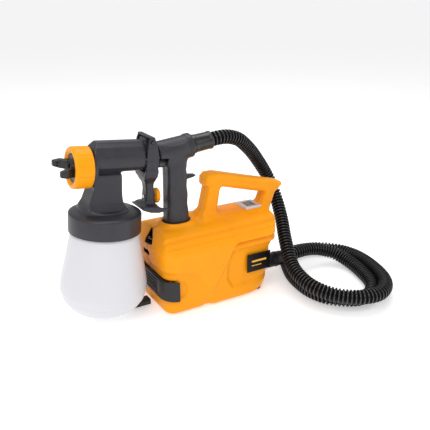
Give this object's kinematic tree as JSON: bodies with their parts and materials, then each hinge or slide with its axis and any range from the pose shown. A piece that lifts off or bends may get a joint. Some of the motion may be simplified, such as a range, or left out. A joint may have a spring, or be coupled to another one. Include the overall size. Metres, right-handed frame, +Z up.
{
  "type": "airless paint sprayer",
  "caption": "Floor-standing turbine paint sprayer: box with carry handle, corrugated air hose, and a cup gun with trigger, air cap and flow knob.",
  "frame": {"origin": "on the floor, midway between the front of the cup and the handle's tail, in the machine's middle plane", "axes": "+Z up, -X the way the nozzle points, +X towards the hose, -Y the side with the outlet port"},
  "size_m": [0.509, 0.2658, 0.2595],
  "materials": {
    "yellow_plastic": "satin moulded ABS",
    "charcoal_plastic": "fine-textured moulded ABS",
    "black_plastic": "satin black",
    "hose_plastic": "semi-gloss corrugated EVA",
    "cup_plastic": "translucent HDPE",
    "white_plastic": "natural nylon",
    "grey_plastic": "silver-grey moulded",
    "label": "printed plate",
    "rubber": "matt",
    "filter_foam": "open-cell foam",
    "steel": "machined",
    "bracket_alloy": "die-cast",
    "copper": "wound copper",
    "carbon": "carbon"
  },
  "bodies": {
    "sprayer": {"housing_left": "yellow_plastic", "housing_right": "yellow_plastic", "housing_screws": "steel", "rubber_feet": "rubber", "front_skid": "black_plastic", "socket_liner": "black_plastic", "intake_filter": "filter_foam", "switch_bezel": "grey_plastic", "label_plate": "label", "cord_gland": "black_plastic", "motor_stator": "steel", "motor_front_bracket": "bracket_alloy", "motor_rear_bracket": "bracket_alloy", "front_bearing": "steel", "rear_bearing": "steel", "carbon_brushes": "carbon", "motor_mount": "rubber", "turbine_mount": "rubber", "turbine_casing": "white_plastic", "turbine_cover": "white_plastic", "diffuser": "white_plastic", "outlet_port": "black_plastic", "box_hose_cuff": "black_plastic", "grip_left": "charcoal_plastic", "grip_right": "charcoal_plastic", "gun_screws": "steel", "spray_head": "charcoal_plastic", "head_gasket": "rubber", "cup_lid": "charcoal_plastic", "lid_gasket": "white_plastic", "pickup_tube": "white_plastic", "check_valve": "white_plastic", "fluid_nozzle": "steel", "nozzle_seal": "rubber", "needle_spring": "steel", "needle_packing": "white_plastic", "needle_guide": "grey_plastic", "trigger_pin": "steel", "gun_hose_cuff": "black_plastic", "air_hose": "hose_plastic"},
    "air_grille": {"air_grille": "black_plastic"},
    "switch_rocker": {"switch_rocker": "grey_plastic"},
    "rotor": {"motor_shaft": "steel", "armature": "copper", "commutator": "copper", "impeller_first": "white_plastic", "impeller_second": "white_plastic"},
    "trigger": {"trigger": "charcoal_plastic"},
    "flow_knob": {"flow_knob": "yellow_plastic", "flow_screw": "steel"},
    "needle": {"needle": "steel"},
    "air_cap": {"air_cap": "black_plastic"},
    "ring_nut": {"ring_nut": "yellow_plastic"},
    "cup": {"paint_cup": "cup_plastic"}
  },
  "joints": [
    {"name": "air_grille_pull", "type": "slide", "parent": "sprayer", "child": "air_grille", "axis": [-1, 0, 0], "range_m": [0, 0.006]},
    {"name": "switch_rocker_tilt", "type": "hinge", "parent": "sprayer", "child": "switch_rocker", "pos_m": [0.126, 0, 0.121], "axis": [0, 1, 0], "range_deg": [0, 10]},
    {"name": "rotor_spin", "type": "hinge", "parent": "sprayer", "child": "rotor", "pos_m": [0.057, 0, 0.058], "axis": [1, 0, 0], "continuous": true},
    {"name": "trigger_pull", "type": "hinge", "parent": "sprayer", "child": "trigger", "pos_m": [-0.04482, 0, 0.25105], "axis": [0, -1, 0], "range_deg": [0, 6], "stiffness_Nm_per_rad": 1, "springref_deg": -5.73},
    {"name": "needle_slide", "type": "slide", "parent": "sprayer", "child": "needle", "axis": [0.9962, 0, -0.0872], "range_m": [0, 0.0037]},
    {"name": "flow_knob_turn", "type": "hinge", "parent": "trigger", "child": "flow_knob", "pos_m": [-0.03398, 0, 0.16839], "axis": [0.9962, 0, -0.0872], "range_deg": [0, 360]},
    {"name": "air_cap_turn", "type": "hinge", "parent": "sprayer", "child": "air_cap", "pos_m": [-0.14742, 0, 0.2257], "axis": [0.9962, 0, -0.0872], "range_deg": [0, 90]},
    {"name": "ring_nut_turn", "type": "hinge", "parent": "sprayer", "child": "ring_nut", "pos_m": [-0.13945, 0, 0.225], "axis": [-0.9962, 0, 0.0872], "range_deg": [0, 360]},
    {"name": "cup_unscrew", "type": "hinge", "parent": "sprayer", "child": "cup", "pos_m": [-0.11528, 0, 0.09962], "axis": [0.0872, 0, 0.9962], "range_deg": [0, 360]}
  ],
  "couplings": [
    {"joint": "needle_slide", "follows": "trigger_pull", "m_per_rad": 0.0342}
  ]
}
